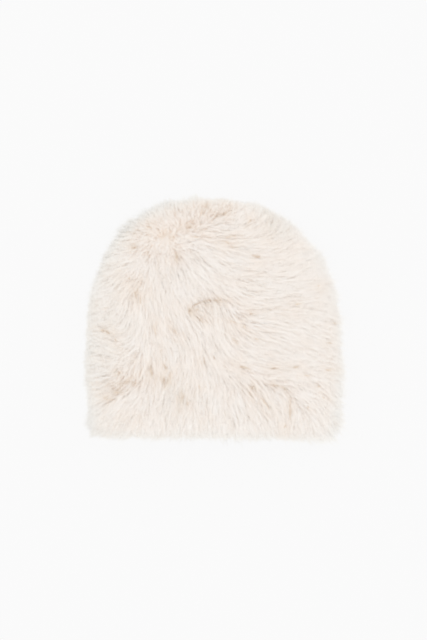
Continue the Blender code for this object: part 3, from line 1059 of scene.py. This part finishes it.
def matMaterial():
    made, board = newMaterial("matted roots")
    place = objectPlace(board)
    soft = softNoise(board, place, roots["patches"], 3.0)
    fine = softNoise(board, place, roots["fibres"], 2.0)
    colour = board.mix(soft, roots["shadow"], roots["light"])
    bump = board.add("ShaderNodeBump", {},
                     {"Strength": 0.6, "Distance": roots["bump"], "Height": fine + soft * 0.5})
    finishMaterial(board, colour, roughness=0.9, specular=0.1, more={"Normal": bump})
    return made


cloth = {  # the knitted backing inside
    "shadow": (0.72, 0.63, 0.54, 1),
    "light": (0.86, 0.78, 0.69, 1),
    "stitch": 1.6 * mm,  # from column to column
    "rowsToColumns": 1.25,
    "loopDepth": 1.3,  # how far a row of loops waves from column to column
    "patches": 60.0,
    "bump": 0.6 * mm,
}


def clothMaterial():
    made, board = newMaterial("knitted backing")
    place = objectPlace(board)
    x, y, _ = place.parts()
    turn = math.tau / cloth["stitch"]
    column = (x * turn).sine()
    row = ((y * turn * cloth["rowsToColumns"]) + column * cloth["loopDepth"]).sine()
    loops = column * row * 0.5 + 0.5
    soft = softNoise(board, place, cloth["patches"], 4.0)
    # painted shade: the knit is darker in the hollows between its loops, where the bump sinks, mixed with
    # random darker and paler patches
    colour = board.mix(loops * 0.6 + soft * 0.4, cloth["shadow"], cloth["light"])
    bump = board.add("ShaderNodeBump", {}, {"Strength": 0.5, "Distance": cloth["bump"], "Height": loops})
    finishMaterial(board, colour, roughness=0.9, specular=0.15, more={"Normal": bump})
    return made


# The hat

hideMesh = makeHideMesh()
combHide(hideMesh)
areas = zoneHide(hideMesh)
print("hide combed")

template = makeStrandTemplate()
tree = pileTree()
furFinish = pileMaterial()
pieces = []
for name, zone, count, seed, own in pilePieces:
    knobs = {**pile, **own, "Template": template, "Material": furFinish, "Zone": zone, "Seed": seed}
    knobs["Strands Per Area"] = count / areas[zone]
    pieces.append(growPile(name, hideMesh, tree, knobs))
topPieces = pieces[:5]  # the front's strips and the edge, which a parting can show on
pieces.append(growShade(topPieces, furFinish))
for piece in pieces:
    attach(piece, "root")
bpy.data.objects.remove(template)
triangles = sum(len(piece.data.loops) - 2 * len(piece.data.polygons) for piece in pieces)
print("pile grown,", triangles, "triangles")

mat = makeObject("pile_mat", hideMesh, matMaterial())
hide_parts("fur_pile")
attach(mat, "root")

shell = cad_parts["crown_shell"]
shell.data.materials.clear()
shell.data.materials.append(clothMaterial())
print("backing finished")

studio = {
    "frameHeight": 640,  # pixels of the photograph's frame
    "pixel": 1.04 * mm,  # what one of them covers on the hat
    "lookAt": (1.56 * mm, -1.56 * mm, 24 * mm),
    "lens": 100,
    "sensor": 36,
    "farthest": 10,
    "floorSize": 6.0,
    "worldLight": 1.07,
    "floorAlbedo": 0.05,
    "floorGlow": 0.885,  # the floor is a softly lit table, so no shadow falls on it
    "gamma": 1.5,  # a bright, low-contrast exposure
    "bounces": 24,
    "pixelFilter": 2.4,  # how softly the film draws a hair, in pixels
}


def makeFloor():
    half = studio["floorSize"] / 2
    corners = [(-half, -half, 0), (half, -half, 0), (half, half, 0), (-half, half, 0)]
    mesh = bpy.data.meshes.new("floor")
    mesh.from_pydata(corners, [], [(0, 1, 2, 3)])
    made, board = newMaterial("pale floor")
    albedo = studio["floorAlbedo"]
    glow = {"Emission Color": (1, 1, 1, 1), "Emission Strength": studio["floorGlow"]}
    finishMaterial(board, (albedo, albedo, albedo, 1), roughness=0.8, specular=0.0, more=glow)
    return makeObject("floor", mesh, made)


def lightRoom():
    world = bpy.data.worlds.new("studio")
    world.use_nodes = True
    background = world.node_tree.nodes["Background"]
    background.inputs["Color"].default_value = (1, 1, 1, 1)
    background.inputs["Strength"].default_value = studio["worldLight"]
    bpy.context.scene.world = world


def placeCamera():
    camera = bpy.data.objects.new("camera", bpy.data.cameras.new("camera"))
    bpy.context.scene.collection.objects.link(camera)
    camera.data.lens = studio["lens"]
    camera.data.sensor_width = studio["sensor"]
    camera.data.clip_end = studio["farthest"]
    distance = studio["frameHeight"] * studio["pixel"] * studio["lens"] / studio["sensor"]
    x, y, z = studio["lookAt"]
    camera.location = (x, y, z + distance)
    bpy.context.scene.camera = camera


def setExposure():
    scene = bpy.context.scene
    scene.view_settings.view_transform = "Standard"
    scene.view_settings.gamma = studio["gamma"]
    scene.cycles.filter_width = studio["pixelFilter"]
    scene.cycles.diffuse_bounces = studio["bounces"]
    scene.cycles.max_bounces = studio["bounces"]


floor = makeFloor()
lightRoom()
placeCamera()
setExposure()
print("studio set")
